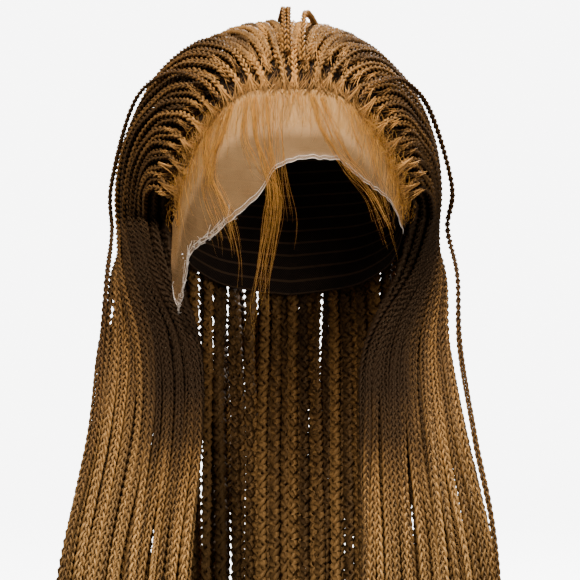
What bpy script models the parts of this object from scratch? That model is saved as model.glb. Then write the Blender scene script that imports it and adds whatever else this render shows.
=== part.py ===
"""A lace-front wig of thin braids: a net cap, the lace in front of it, and bundles of braids that lie over
the cap in layers and hang in front of both shoulders and down the back.

Metres, +Z up. The origin is the inside of the crown, where the head carries the cap. The face looks to -Y.
"""

import math

import bpy
import numpy as np

# The form of the head inside the cap
CAP_WIDTH = 0.152
CAP_DEPTH = 0.192
CROWN_HEIGHT = 0.105
LOWER_HEIGHT = 0.140
HEAD_SQUARENESS = 2.25

# The cap and the lace
CAP_WALL = 0.0012
LACE_WALL = 0.0010
CAP_HEIGHT = 0.170
LACE_HEIGHT = 0.175
TAB_FLARE = 0.006
SEAM_GAP = 0.0004

# The braids
BRAID_WIDTH = 0.0044
STACK_LEFT = 0.0415
STACK_RIGHT = 0.0245
STACK_BACK = 0.016
TEMPLE_STACK_LEFT = 0.018
TEMPLE_STACK_RIGHT = 0.016
CHEST_STACK = 0.017
FALL_LENGTH = 0.390
SPREAD_LEFT = 0.160
SPREAD_RIGHT = 0.142
SPREAD_BACK = 0.088
ROOT_SETBACK = 0.003
CAP_CLEARANCE = 0.0025
ROOT_CLEARANCE = 0.0018
LAYER_GAP = 0.0011
PIECE_GAP = 0.0003
LOOP_HEIGHT = 0.0115
STRAY_LIFT = 0.009

# How many bundles lie side by side in each fan
SIDE_BUNDLES = 4
BACK_BUNDLES = 6

# The cap and the lace share their columns, so that their seam runs even
CAP_COLUMNS = 40
CAP_RINGS = 6
LACE_ROWS = 4

HAIR_COLOURS = {
    "left": (0.36, 0.19, 0.07, 1.0),
    "right": (0.34, 0.18, 0.065, 1.0),
    "back": (0.31, 0.165, 0.06, 1.0),
    "loose": (0.42, 0.23, 0.085, 1.0),
}

# The cap's lower edge: angle from the front, and how far it lies under the crown as a share of CAP_HEIGHT
CAP_EDGE = (
    # azimuth, drop
    (0, 0.253),
    (14, 0.253),
    (21, 0.265),
    (28, 0.310),
    (35, 0.375),
    (45, 0.475),
    (50, 0.530),
    (56, 0.610),
    (61, 0.690),
    (70, 0.730),
    (80, 0.730),
    (90, 0.700),
    (102, 0.735),
    (120, 0.865),
    (150, 0.965),
    (180, 1.000),
)

# The lace's free edge, from the picture's left over the middle to its right. The drop is a share of
# LACE_HEIGHT, and the flare is how far the edge stands off the head as a share of TAB_FLARE.
LACE_EDGE = (
    # azimuth, drop, flare
    (-81, 0.92, 1.0),
    (-74, 1.00, 1.0),
    (-63, 0.97, 0.7),
    (-56, 0.92, 0.4),
    (-47, 0.81, 0.0),
    (-31, 0.755, 0.0),
    (-20, 0.683, 0.0),
    (-11, 0.61, 0.0),
    (-6, 0.524, 0.0),
    (1, 0.495, 0.0),
    (7, 0.481, 0.0),
    (19, 0.488, 0.0),
    (24, 0.531, 0.0),
    (30, 0.564, 0.0),
    (43, 0.615, 0.0),
    (52, 0.665, 0.0),
    (63, 0.740, 0.2),
)

# The way a braid takes over the head. Fan 0 goes over the middle of the crown and fan 2 leaves the temple.
# Each line starts at the cap's edge at the root's azimuth, is drawn towards the lift and over directions
# and lets go of the head at the fall's azimuth. Azimuth is the angle from the front, polar from the crown.
FLOW = (
    # fan, root_azimuth, lift_azimuth, lift_polar, over_azimuth, over_polar, fall_azimuth
    (0.00, 0.0, 0, 10, 180, 46, 180),
    (0.50, 6.5, 38, 13, 152, 50, 149),
    (1.00, 13.0, 54, 20, 112, 52, 118),
    (1.25, 24.0, 55, 33, 97, 61, 111),
    (1.50, 35.0, 59, 48, 90, 70, 104),
    (1.75, 48.0, 67, 64, 90, 79, 101),
    (2.00, 60.0, 75, 84, 88, 90, 97),
)
FALL_POLAR = 100.0

# The stations of a braid on the head: share of the way from the root to the fall, and share of the
# hair's loft that it has there
HEAD_STATIONS = (
    # share, loft
    (0.00, 0.00),
    (0.07, 0.01),
    (0.15, 0.03),
    (0.25, 0.08),
    (0.36, 0.20),
    (0.48, 0.34),
    (0.60, 0.53),
    (0.73, 0.74),
    (0.87, 0.90),
    (1.00, 1.00),
)

# The stations of a hanging side bundle. The drop is a share of FALL_LENGTH from the fall. The inner edge
# lies next to the neck and the outer edge on the shoulder: across as shares of half the cap's width and
# of the spread, forward as shares of half the cap's depth. Settled says how far the hair's thickness has
# gone over from its value at the ear (0) to CHEST_STACK (1).
FALL_LEFT = (
    # drop, inner_across, inner_forward, outer_across, outer_forward, settled
    (0.10, 0.90, -0.08, 0.555, -0.42, 0.30),
    (0.22, 0.72, -0.06, 0.740, -0.28, 0.75),
    (0.37, 0.73, 0.16, 0.810, 0.10, 1.00),
    (0.58, 0.84, 0.42, 0.920, 0.40, 1.00),
    (0.79, 0.90, 0.48, 0.975, 0.46, 1.00),
    (1.00, 0.93, 0.50, 1.000, 0.48, 1.00),
)
FALL_RIGHT = (
    # drop, inner_across, inner_forward, outer_across, outer_forward, settled
    (0.10, 0.86, -0.10, 0.590, -0.42, 0.30),
    (0.22, 0.60, -0.08, 0.705, -0.30, 0.75),
    (0.37, 0.60, 0.15, 0.800, 0.10, 1.00),
    (0.58, 0.59, 0.40, 0.925, 0.38, 1.00),
    (0.79, 0.60, 0.46, 0.975, 0.44, 1.00),
    (1.00, 0.62, 0.48, 1.000, 0.46, 1.00),
)

# The stations of a hanging back bundle: how far it spreads as a share of SPREAD_BACK, how far its middle
# and its sides lie behind the origin as shares of half the cap's depth
FALL_BACK = (
    # drop, spread, middle_behind, side_behind
    (0.10, 0.90, 0.97, 0.37),
    (0.22, 0.92, 0.96, 0.50),
    (0.37, 0.95, 0.97, 0.68),
    (0.58, 0.98, 0.99, 0.80),
    (0.79, 1.00, 1.00, 0.88),
    (1.00, 1.00, 1.00, 0.92),
)

# The station at which each layer of bundles is rooted, outermost first
LAYER_ROOTS = {"left": (0, 2, 4), "right": (0, 3, 6), "back": (0, 5)}
# How full a layer is at its root and at the station after it
ROOT_FULLNESS = (0.45, 0.80)

# A bundle's section, seen from its tip: share across and share of the thickness, three ridges on top
BUNDLE_SECTION = (
    # across, up
    (0.05, 0.00),
    (0.50, 0.00),
    (0.95, 0.00),
    (1.00, 0.50),
    (0.84, 1.00),
    (0.67, 0.74),
    (0.50, 1.00),
    (0.33, 0.74),
    (0.16, 1.00),
    (0.00, 0.50),
)

# How much longer or shorter each bundle in turn hangs, as a share of its last stretch
TIP_LENGTHS = (0.00, 0.10, -0.08, 0.05, -0.14, 0.12, -0.03)

# The braids that leave the mass. Stations are counted from the root. The lift is how far the braid
# stands off the outermost layer, as a share of STRAY_LIFT.
STRAYS = {
    "stray_braid_left": (
        # station, fan, lift
        (0, 1.36, 0.0),
        (2, 1.36, 0.0),
        (4, 1.33, 0.0),
        (6, 1.27, 0.05),
        (8, 1.27, 0.1),
        (9, 1.28, 0.2),
        (10, 1.14, 0.1),
        (11, 1.06, 0.0),
        (12, 1.06, 0.0),
        (13, 1.06, 0.0),
        (15, 1.08, 0.0),
    ),
    "stray_braid_right": (
        # station, fan, lift
        (0, 1.36, 0.05),
        (1, 1.36, 0.07),
        (2, 1.36, 0.09),
        (4, 1.33, 0.05),
        (6, 1.27, 0.0),
        (8, 1.26, 0.5),
        (9, 1.22, 0.5),
        (10, 1.10, 0.6),
        (11, 0.99, 0.6),
        (12, 0.945, 0.5),
        (13, 1.00, 0.2),
        (15, 1.08, 0.0),
    ),
}

# The arches on the crown: station, fan and height over the outermost layer as a share of LOOP_HEIGHT
LOOPS = {
    "loop_braid_left": (
        # station, fan, height
        (1.6, 0.07, 0.00),
        (2.1, 0.07, 0.45),
        (2.6, 0.06, 0.85),
        (3.0, 0.06, 0.85),
        (3.4, 0.07, 0.45),
        (3.9, 0.09, 0.00),
    ),
    "loop_braid_right": (
        # station, fan, height
        (1.2, 0.31, 0.00),
        (1.8, 0.25, 0.40),
        (2.5, 0.22, 0.80),
        (3.0, 0.23, 0.65),
        (3.4, 0.26, 0.30),
        (3.9, 0.28, 0.00),
    ),
}

SIDE_SIGN = {"left": -1.0, "right": 1.0}
CENTRE = np.array((0.0, 0.0, -CROWN_HEIGHT))


def column(table, name_index, at, key=0):
    """A table's column read between its rows."""
    rows = np.array(table, float)
    return np.interp(at, rows[:, key], rows[:, name_index])


def direction(azimuth, polar):
    """The unit vector at these angles in degrees, from the front and from the crown."""
    azimuth, polar = np.radians(azimuth), np.radians(polar)
    return np.stack(
        (
            np.sin(polar) * np.sin(azimuth),
            -np.sin(polar) * np.cos(azimuth),
            np.cos(polar) * np.ones_like(azimuth),
        ),
        axis=-1,
    )


def head_radius(way):
    """How far the head's surface lies from its centre, in these directions."""
    half = np.where(way[..., 2] > 0, CROWN_HEIGHT, LOWER_HEIGHT)
    total = (
        np.abs(way[..., 0] / (CAP_WIDTH / 2)) ** HEAD_SQUARENESS
        + np.abs(way[..., 1] / (CAP_DEPTH / 2)) ** HEAD_SQUARENESS
        + np.abs(way[..., 2] / half) ** HEAD_SQUARENESS
    )
    return total ** (-1 / HEAD_SQUARENESS)


def over_head(way, height):
    """The points this far outside the head's surface."""
    return CENTRE + way * (head_radius(way) + height)[..., None]


def polar_at_drop(azimuth, drop):
    """The angle from the crown of the point on the head that lies this far under the crown."""
    level = CROWN_HEIGHT - np.asarray(drop, float)
    half = np.where(level > 0, CROWN_HEIGHT, LOWER_HEIGHT)
    turn = np.radians(azimuth)
    flat = (
        np.abs(np.sin(turn) / (CAP_WIDTH / 2)) ** HEAD_SQUARENESS
        + np.abs(np.cos(turn) / (CAP_DEPTH / 2)) ** HEAD_SQUARENESS
    ) ** (-1 / HEAD_SQUARENESS)
    shrink = (1 - np.abs(level / half) ** HEAD_SQUARENESS) ** (1 / HEAD_SQUARENESS)
    return np.degrees(np.arctan2(flat * shrink, level))


def cap_edge_polar(azimuth):
    """The angle from the crown of the cap's edge."""
    return polar_at_drop(azimuth, CAP_HEIGHT * column(CAP_EDGE, 1, np.abs(azimuth)))


def flow_direction(side, fan, share):
    """The direction from the head's centre of a braid, at a share of its way over the head: a Bezier
    curve of four directions, made unit vectors again."""
    root = column(FLOW, 1, fan)
    setback = math.degrees(ROOT_SETBACK / CROWN_HEIGHT)
    corners = (
        direction(root, cap_edge_polar(root) - setback),
        direction(column(FLOW, 2, fan), column(FLOW, 3, fan)),
        direction(column(FLOW, 4, fan), column(FLOW, 5, fan)),
        direction(column(FLOW, 6, fan), FALL_POLAR),
    )
    weights = (
        (1 - share) ** 3,
        3 * share * (1 - share) ** 2,
        3 * share**2 * (1 - share),
        share**3,
    )
    way = sum(weight * corner for weight, corner in zip(weights, corners))
    way = way / np.linalg.norm(way, axis=-1, keepdims=True)
    return way * np.array((SIDE_SIGN[side], 1.0, 1.0))


def fan_sizes(side, fan):
    """The hair's full thickness where a fan leaves the head."""
    if side == "left":
        stack, temple = STACK_LEFT, TEMPLE_STACK_LEFT
    else:
        stack, temple = STACK_RIGHT, TEMPLE_STACK_RIGHT
    return np.interp(fan, (0.0, 1.0, 1.4, 2.0), (STACK_BACK, stack, stack, temple))


def layer_fullness(zone, layer, station):
    """How much of its full thickness a layer has at a station: less at its root, none before it."""
    since = station - LAYER_ROOTS[zone][layer]
    if since < 0:
        return 0.0
    return ROOT_FULLNESS[since] if since < len(ROOT_FULLNESS) else 1.0


def layer_heights(zone, side, fan, station):
    """The lower face of each layer over the head or the fall's base, and its thickness, outermost first.
    The layers share out the hair's full thickness, and each lies on the one that is rooted after it."""
    count = len(LAYER_ROOTS[zone])
    fullness = [layer_fullness(zone, layer, station) for layer in range(count)]
    full = fan_sizes(side, fan)
    if station < len(HEAD_STATIONS):
        loft = HEAD_STATIONS[station][1]
    else:
        loft = 1.0
        settled = settled_share(zone, side, station)
        full = full + (CHEST_STACK - full) * settled
    spare = np.maximum(full - count * BRAID_WIDTH - (count - 1) * LAYER_GAP, 0) * loft
    height = CAP_WALL + CAP_CLEARANCE + 0 * full
    found = []
    for layer in reversed(range(count)):
        share = fullness[layer] / sum(fullness)
        thickness = BRAID_WIDTH * fullness[layer] + spare * share
        found.append((height, thickness))
        if fullness[layer]:
            height = height + thickness + LAYER_GAP
    return found[::-1]


def settled_share(zone, side, station):
    """How far a fall's thickness has gone over to its thickness on the chest."""
    if zone == "back":
        return 0.0
    table = FALL_LEFT if side == "left" else FALL_RIGHT
    return table[station - len(HEAD_STATIONS)][5]


def side_fall_base(side, fan, row):
    """The inner face of a hanging side bundle, and the way out of it."""
    if side == "left":
        table, spread = FALL_LEFT, SPREAD_LEFT
    else:
        table, spread = FALL_RIGHT, SPREAD_RIGHT
    _, inner_across, inner_forward, outer_across, outer_forward, _ = table[row]
    inner = np.array((inner_across * CAP_WIDTH / 2, -inner_forward * CAP_DEPTH / 2))
    outer = np.array((outer_across * spread, -outer_forward * CAP_DEPTH / 2))
    along = outer - inner
    out = np.array((along[1], -along[0])) / np.linalg.norm(along)
    back = (2 - fan)[..., None]
    place = inner + along * back
    return place * (SIDE_SIGN[side], 1), out * (SIDE_SIGN[side], 1) * np.ones_like(place)


def back_fall_base(side, fan, row):
    """The inner face of a hanging back bundle, and the way out of it."""
    _, spread, middle, edge = FALL_BACK[row]
    half = spread * SPREAD_BACK
    depth = CAP_DEPTH / 2
    place = np.stack((fan * half, (edge + (middle - edge) * (1 - fan**2)) * depth), -1)
    out = np.stack((2 * fan * (middle - edge) * depth, half * np.ones_like(fan)), -1)
    out = out / np.linalg.norm(out, axis=-1, keepdims=True)
    return place * (SIDE_SIGN[side], 1), out * (SIDE_SIGN[side], 1)


def line_point(zone, side, fan, station, height):
    """The place of a braid line at a station, this far over the head or over the fall's base."""
    fan, height = np.broadcast_arrays(np.asarray(fan, float), np.asarray(height, float))
    if station < len(HEAD_STATIONS):
        return over_head(flow_direction(side, fan, HEAD_STATIONS[station][0]), height)
    row = station - len(HEAD_STATIONS)
    base = back_fall_base if zone == "back" else side_fall_base
    table = FALL_BACK if zone == "back" else FALL_LEFT
    place, out = base(side, fan, row)
    flat = place + out * height[..., None]
    fall_level = over_head(direction(np.array(90.0), np.array(FALL_POLAR)), 0 * fan)[..., 2]
    level = fall_level - table[row][0] * FALL_LENGTH
    return np.concatenate((flat, np.broadcast_to(level[..., None], flat[..., :1].shape)), -1)


STATIONS = len(HEAD_STATIONS) + len(FALL_LEFT)


def smooth_path(points, steps):
    """A Catmull-Rom curve through the points, with this many steps between each two."""
    points = np.array(points, float)
    padded = np.vstack((2 * points[0] - points[1], points, 2 * points[-1] - points[-2]))
    path = []
    for index in range(len(points) - 1):
        a, b, c, d = padded[index : index + 4]
        for t in np.arange(steps) / steps:
            path.append(
                0.5
                * (
                    2 * b
                    + (c - a) * t
                    + (2 * a - 5 * b + 4 * c - d) * t**2
                    + (3 * b - a - 3 * c + d) * t**3
                )
            )
    path.append(points[-1])
    return np.array(path)


def clear_scene():
    for thing in list(bpy.data.objects):
        bpy.data.objects.remove(thing, do_unlink=True)


def material(name, colour, roughness):
    made = bpy.data.materials.new(name)
    made.use_nodes = True
    shader = made.node_tree.nodes["Principled BSDF"]
    shader.inputs["Base Color"].default_value = colour
    shader.inputs["Roughness"].default_value = roughness
    shader.inputs["Metallic"].default_value = 0.0
    return made


def add_mesh(parts, name, points, faces, finish):
    mesh = bpy.data.meshes.new(name)
    mesh.from_pydata([tuple(point) for point in points], [], faces)
    mesh.update()
    made = bpy.data.objects.new(name, mesh)
    mesh.materials.append(finish)
    parts.objects.link(made)
    return made


def thicken(made, wall):
    """Gives an open sheet its wall, outwards."""
    shell = made.modifiers.new("Wall", "SOLIDIFY")
    shell.thickness = wall
    shell.offset = 1.0
    shell.use_even_offset = True


def make_cap(parts):
    """The dome, from the crown down to its edge."""
    around, rings = CAP_COLUMNS, CAP_RINGS
    azimuths = np.arange(around) * 360 / around - 180
    edge = cap_edge_polar(azimuths)
    points = [tuple(over_head(direction(np.array(0.0), np.array(0.0)), np.array(0.0)))]
    for ring in range(1, rings + 1):
        way = direction(azimuths, edge * ring / rings)
        points.extend(map(tuple, over_head(way, np.zeros(around))))
    faces = []
    for step in range(around):
        after = (step + 1) % around
        faces.append((0, 1 + step, 1 + after))
        for ring in range(rings - 1):
            low = 1 + ring * around
            faces.append((low + step, low + around + step, low + around + after, low + after))
    cap = add_mesh(parts, "cap", points, faces, material("cap_net", (0.05, 0.035, 0.025, 1), 0.9))
    thicken(cap, CAP_WALL)


def make_front_lace(parts):
    """The lace from the cap's edge to its own free edge."""
    step = 360 / CAP_COLUMNS
    azimuths = np.arange(LACE_EDGE[0][0], LACE_EDGE[-1][0] + step / 2, step)
    drop = CAP_HEIGHT * column(CAP_EDGE, 1, np.abs(azimuths)) + SEAM_GAP
    upper = polar_at_drop(azimuths, drop)
    lower = polar_at_drop(azimuths, LACE_HEIGHT * column(LACE_EDGE, 1, azimuths))
    flare = TAB_FLARE * column(LACE_EDGE, 2, azimuths)
    points = []
    for row in range(LACE_ROWS + 1):
        share = row / LACE_ROWS
        way = direction(azimuths, upper + (lower - upper) * share)
        points.extend(map(tuple, over_head(way, flare * share)))
    count = len(azimuths)
    faces = [
        (low, low + count, low + count + 1, low + 1)
        for row in range(LACE_ROWS)
        for low in range(row * count, row * count + count - 1)
    ]
    lace = add_mesh(parts, "front_lace", points, faces, material("lace", (0.72, 0.52, 0.42, 1), 0.8))
    thicken(lace, LACE_WALL)


def bundle_section(zone, side, fans, layer, station):
    """The ring of points round a bundle at a station. The gap to its neighbours is taken off its sides."""
    across = np.array([row[0] for row in BUNDLE_SECTION])
    up = np.array([row[1] for row in BUNDLE_SECTION])
    ends = line_point(zone, side, np.array(fans), station, np.zeros(2))
    width = np.linalg.norm(ends[1] - ends[0])
    inset = min(PIECE_GAP / 2 / width, 0.25)
    fan = fans[0] + (fans[1] - fans[0]) * (inset + (1 - 2 * inset) * across)
    low, thickness = layer_heights(zone, side, fan, station)[layer]
    top = low + thickness
    if station == LAYER_ROOTS[zone][layer]:
        low = CAP_WALL + ROOT_CLEARANCE
    return line_point(zone, side, fan, station, low + (top - low) * up)


def make_bundle(parts, zone, side, name, fans, layer, tip, finish):
    """One bundle, lofted through its stations. Its last stretch is made longer or shorter by its tip."""
    first = LAYER_ROOTS[zone][layer]
    rings = [bundle_section(zone, side, fans, layer, station) for station in range(first, STATIONS)]
    rings[-1] = rings[-2] + (rings[-1] - rings[-2]) * (1 + tip)
    count = len(BUNDLE_SECTION)
    points = [tuple(point) for ring in rings for point in ring]
    faces = []
    for ring in range(len(rings) - 1):
        low = ring * count
        for step in range(count):
            after = (step + 1) % count
            faces.append((low + step, low + after, low + count + after, low + count + step))
    faces.append(tuple(range(count))[::-1])
    faces.append(tuple((len(rings) - 1) * count + step for step in range(count)))
    return add_mesh(parts, name, points, faces, finish)


def make_bundles(parts):
    for side in ("left", "right"):
        finish = material("braids_" + side, HAIR_COLOURS[side], 0.55)
        for layer in range(len(LAYER_ROOTS[side])):
            for place in range(SIDE_BUNDLES):
                fans = (2 - place / SIDE_BUNDLES, 2 - (place + 1) / SIDE_BUNDLES)
                tip = TIP_LENGTHS[(place + 3 * layer) % len(TIP_LENGTHS)]
                name = f"lock_{side}_{layer + 1}_{place + 1}"
                made = make_bundle(parts, side, side, name, fans, layer, tip, finish)
                face_out(made)
    finish = material("braids_back", HAIR_COLOURS["back"], 0.55)
    half = BACK_BUNDLES // 2
    for layer in range(len(LAYER_ROOTS["back"])):
        for place in range(BACK_BUNDLES):
            side = "left" if place < half else "right"
            step = half - place if place < half else place - half
            fans = (step / half, (step - 1) / half) if place < half else (step / half, (step + 1) / half)
            tip = TIP_LENGTHS[(place + 2 * layer) % len(TIP_LENGTHS)]
            name = f"lock_back_{layer + 1}_{place + 1}"
            made = make_bundle(parts, "back", side, name, fans, layer, tip, finish)
            face_out(made)


def face_out(made):
    """Turns a lofted body's faces round where its volume comes out negative."""
    mesh = made.data
    mesh.calc_loop_triangles()
    points = np.array([vertex.co for vertex in mesh.vertices])
    corners = points[np.array([triangle.vertices for triangle in mesh.loop_triangles])]
    volume = np.einsum("ij,ij->i", corners[:, 0], np.cross(corners[:, 1], corners[:, 2])).sum()
    if volume < 0:
        mesh.flip_normals()


def outer_point(zone, side, fan, station, lift):
    """A point over the outermost layer, at a whole station or between two."""
    low = min(int(station), STATIONS - 2)
    ends = []
    for whole in (low, low + 1):
        height, thickness = layer_heights(zone, side, np.array(fan), whole)[0]
        ends.append(line_point(zone, side, fan, whole, height + thickness + lift))
    return ends[0] + (ends[1] - ends[0]) * (station - low)


def make_tube(parts, name, path, finish):
    """One braid as a round cord."""
    curve = bpy.data.curves.new(name, "CURVE")
    curve.dimensions = "3D"
    curve.bevel_depth = BRAID_WIDTH / 2
    curve.bevel_resolution = 1
    curve.use_fill_caps = True
    spline = curve.splines.new("POLY")
    spline.points.add(len(path) - 1)
    for point, place in zip(spline.points, path):
        point.co = (*place, 1.0)
    made = bpy.data.objects.new(name, curve)
    curve.materials.append(finish)
    parts.objects.link(made)


def make_loose_braids(parts):
    """The arches on the crown and the braids that leave the mass."""
    finish = material("loose_braids", HAIR_COLOURS["loose"], 0.5)
    seat = 2 * PIECE_GAP + BRAID_WIDTH / 2
    for name, rows in LOOPS.items():
        side = name.rsplit("_", 1)[1]
        knots = [
            outer_point("back", side, fan, station, seat + LOOP_HEIGHT * height)
            for station, fan, height in rows
        ]
        make_tube(parts, name, smooth_path(knots, 3), finish)
    for name, rows in STRAYS.items():
        side = name.rsplit("_", 1)[1]
        knots = [
            outer_point(side, side, fan, station, seat + STRAY_LIFT * lift)
            for station, fan, lift in rows
        ]
        make_tube(parts, name, smooth_path(knots, 3), finish)


def main():
    clear_scene()
    parts = bpy.data.collections.new("braid_wig")
    bpy.context.scene.collection.children.link(parts)
    make_cap(parts)
    make_front_lace(parts)
    make_bundles(parts)
    make_loose_braids(parts)


main()
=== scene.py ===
"""A lace-front wig of thin braids, each plaited from three strands, on a net cap, with see-through lace in
front of the hairline and loose baby hair over it.

Metres, +Z up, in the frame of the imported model. The wig's front is turned to -Y.
"""

import math

import bpy
import numpy as np
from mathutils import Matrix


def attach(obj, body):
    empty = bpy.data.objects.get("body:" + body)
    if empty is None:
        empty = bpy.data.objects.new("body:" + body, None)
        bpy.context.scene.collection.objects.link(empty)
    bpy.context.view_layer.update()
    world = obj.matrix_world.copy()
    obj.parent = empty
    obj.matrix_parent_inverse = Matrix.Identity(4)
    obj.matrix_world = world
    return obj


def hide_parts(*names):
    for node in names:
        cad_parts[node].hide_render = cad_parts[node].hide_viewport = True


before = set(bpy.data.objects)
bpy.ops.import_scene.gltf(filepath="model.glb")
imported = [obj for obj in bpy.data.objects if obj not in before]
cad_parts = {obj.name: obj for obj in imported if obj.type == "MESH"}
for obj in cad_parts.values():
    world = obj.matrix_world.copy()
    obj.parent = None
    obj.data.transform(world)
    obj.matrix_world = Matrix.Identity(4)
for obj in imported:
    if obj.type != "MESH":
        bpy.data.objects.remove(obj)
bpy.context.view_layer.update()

# The head's form, the cap and the lace, as in the solids
CAP_WIDTH = 0.152
CAP_DEPTH = 0.192
CROWN_HEIGHT = 0.105
LOWER_HEIGHT = 0.140
HEAD_SQUARENESS = 2.25
CAP_WALL = 0.0012
CAP_HEIGHT = 0.170
LACE_HEIGHT = 0.175
TAB_FLARE = 0.006

# The braids, as in the solids
BRAID_WIDTH = 0.0044
STACK_LEFT = 0.0415
STACK_RIGHT = 0.0245
STACK_BACK = 0.016
TEMPLE_STACK_LEFT = 0.018
TEMPLE_STACK_RIGHT = 0.016
CHEST_STACK = 0.017
FALL_LENGTH = 0.390
SPREAD_LEFT = 0.160
SPREAD_RIGHT = 0.142
SPREAD_BACK = 0.088
ROOT_SETBACK = 0.003
CAP_CLEARANCE = 0.0025
LAYER_GAP = 0.0011
PIECE_GAP = 0.0003
LOOP_HEIGHT = 0.0115
STRAY_LIFT = 0.009
SIDE_BUNDLES = 4
BACK_BUNDLES = 6

# The plait: how far a strand swings across and through it, and the strand's radius
SWING_ACROSS = 0.00124
SWING_THROUGH = 0.00100
STRAND_RADIUS = 0.00090
# Painted shade in the plait's creases: full within this reach of the plait's line, fading out over the next
# distance
CREASE_SHADE_REACH = 0.0009
CREASE_SHADE_FADE = 0.0010

THREE_SIDED_GROWTH = 1.16
# Where a strand's texture is read: the width of its strip, and the slant over its closed ends
STRIP_WIDTH = 0.004
END_SPREAD = 0.0003
CURVE_STEPS = 10
LINE_SAMPLES = 600

# The photo's camera: its distance, and the width that it sees where the hair's front lies
CAMERA_AT = (0.0, -1.9, -0.1667)
VIEW_WIDTH = 0.3654
VIEW_DISTANCE = 1.82
PHOTO_SIZE = 580
HANG_ROW = 215
SENSOR = 36.0
FLOOR_LEVEL = -0.56

CAP_EDGE = (
    # azimuth, drop
    (0, 0.253), (14, 0.253), (21, 0.265), (28, 0.31), (35, 0.375), (45, 0.475), (50, 0.53),
    (56, 0.61), (61, 0.69), (70, 0.73), (80, 0.73), (90, 0.7), (102, 0.735), (120, 0.865),
    (150, 0.965), (180, 1.0),
)
LACE_EDGE = (
    # azimuth, drop, flare
    (-81, 0.92, 1.0), (-74, 1.0, 1.0), (-63, 0.97, 0.7), (-56, 0.92, 0.4), (-47, 0.81, 0.0),
    (-31, 0.755, 0.0), (-20, 0.683, 0.0), (-11, 0.61, 0.0), (-6, 0.524, 0.0), (1, 0.495, 0.0),
    (7, 0.481, 0.0), (19, 0.488, 0.0), (24, 0.531, 0.0), (30, 0.564, 0.0), (43, 0.615, 0.0),
    (52, 0.665, 0.0), (63, 0.74, 0.2),
)
FLOW = (
    # fan, root_azimuth, lift_azimuth, lift_polar, over_azimuth, over_polar, fall_azimuth
    (0.0, 0.0, 0, 10, 180, 46, 180),
    (0.5, 6.5, 38, 13, 152, 50, 149),
    (1.0, 13.0, 54, 20, 112, 52, 118),
    (1.25, 24.0, 55, 33, 97, 61, 111),
    (1.5, 35.0, 59, 48, 90, 70, 104),
    (1.75, 48.0, 67, 64, 90, 79, 101),
    (2.0, 60.0, 75, 84, 88, 90, 97),
)
FALL_POLAR = 100.0
HEAD_STATIONS = (
    # share, loft
    (0.0, 0.0), (0.07, 0.01), (0.15, 0.03), (0.25, 0.08), (0.36, 0.2), (0.48, 0.34), (0.6, 0.53),
    (0.73, 0.74), (0.87, 0.9), (1.0, 1.0),
)
FALL_LEFT = (
    # drop, inner_across, inner_forward, outer_across, outer_forward, settled
    (0.1, 0.9, -0.08, 0.555, -0.42, 0.3),
    (0.22, 0.72, -0.06, 0.74, -0.28, 0.75),
    (0.37, 0.73, 0.16, 0.81, 0.1, 1.0),
    (0.58, 0.84, 0.42, 0.92, 0.4, 1.0),
    (0.79, 0.9, 0.48, 0.975, 0.46, 1.0),
    (1.0, 0.93, 0.5, 1.0, 0.48, 1.0),
)
FALL_RIGHT = (
    # drop, inner_across, inner_forward, outer_across, outer_forward, settled
    (0.1, 0.86, -0.1, 0.59, -0.42, 0.3),
    (0.22, 0.6, -0.08, 0.705, -0.3, 0.75),
    (0.37, 0.6, 0.15, 0.8, 0.1, 1.0),
    (0.58, 0.59, 0.4, 0.925, 0.38, 1.0),
    (0.79, 0.6, 0.46, 0.975, 0.44, 1.0),
    (1.0, 0.62, 0.48, 1.0, 0.46, 1.0),
)
FALL_BACK = (
    # drop, spread, middle_behind, side_behind
    (0.1, 0.9, 0.97, 0.37),
    (0.22, 0.92, 0.96, 0.5),
    (0.37, 0.95, 0.97, 0.68),
    (0.58, 0.98, 0.99, 0.8),
    (0.79, 1.0, 1.0, 0.88),
    (1.0, 1.0, 1.0, 0.92),
)
LAYER_ROOTS = {"left": (0, 2, 4), "right": (0, 3, 6), "back": (0, 5)}
ROOT_FULLNESS = (0.45, 0.8)
TIP_LENGTHS = (0.0, 0.1, -0.08, 0.05, -0.14, 0.12, -0.03)
STRAYS = {
    "stray_braid_left": (
        # station, fan, lift
        (0, 1.36, 0.0), (2, 1.36, 0.0), (4, 1.33, 0.0), (6, 1.27, 0.05), (8, 1.27, 0.1), (9, 1.28, 0.2),
        (10, 1.14, 0.1), (11, 1.06, 0.0), (12, 1.06, 0.0), (13, 1.06, 0.0), (15, 1.08, 0.0),
    ),
    "stray_braid_right": (
        # station, fan, lift
        (0, 1.36, 0.05), (1, 1.36, 0.07), (2, 1.36, 0.09), (4, 1.33, 0.05), (6, 1.27, 0.0),
        (8, 1.26, 0.5), (9, 1.22, 0.5), (10, 1.1, 0.6), (11, 0.99, 0.6), (12, 0.945, 0.5),
        (13, 1.0, 0.2), (15, 1.08, 0.0),
    ),
}
LOOPS = {
    "loop_braid_left": (
        # station, fan, height
        (1.6, 0.07, 0.0), (2.1, 0.07, 0.45), (2.6, 0.06, 0.85), (3.0, 0.06, 0.85), (3.4, 0.07, 0.45),
        (3.9, 0.09, 0.0),
    ),
    "loop_braid_right": (
        # station, fan, height
        (1.2, 0.31, 0.0), (1.8, 0.25, 0.4), (2.5, 0.22, 0.8), (3.0, 0.23, 0.65), (3.4, 0.26, 0.3),
        (3.9, 0.28, 0.0),
    ),
}
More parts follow.
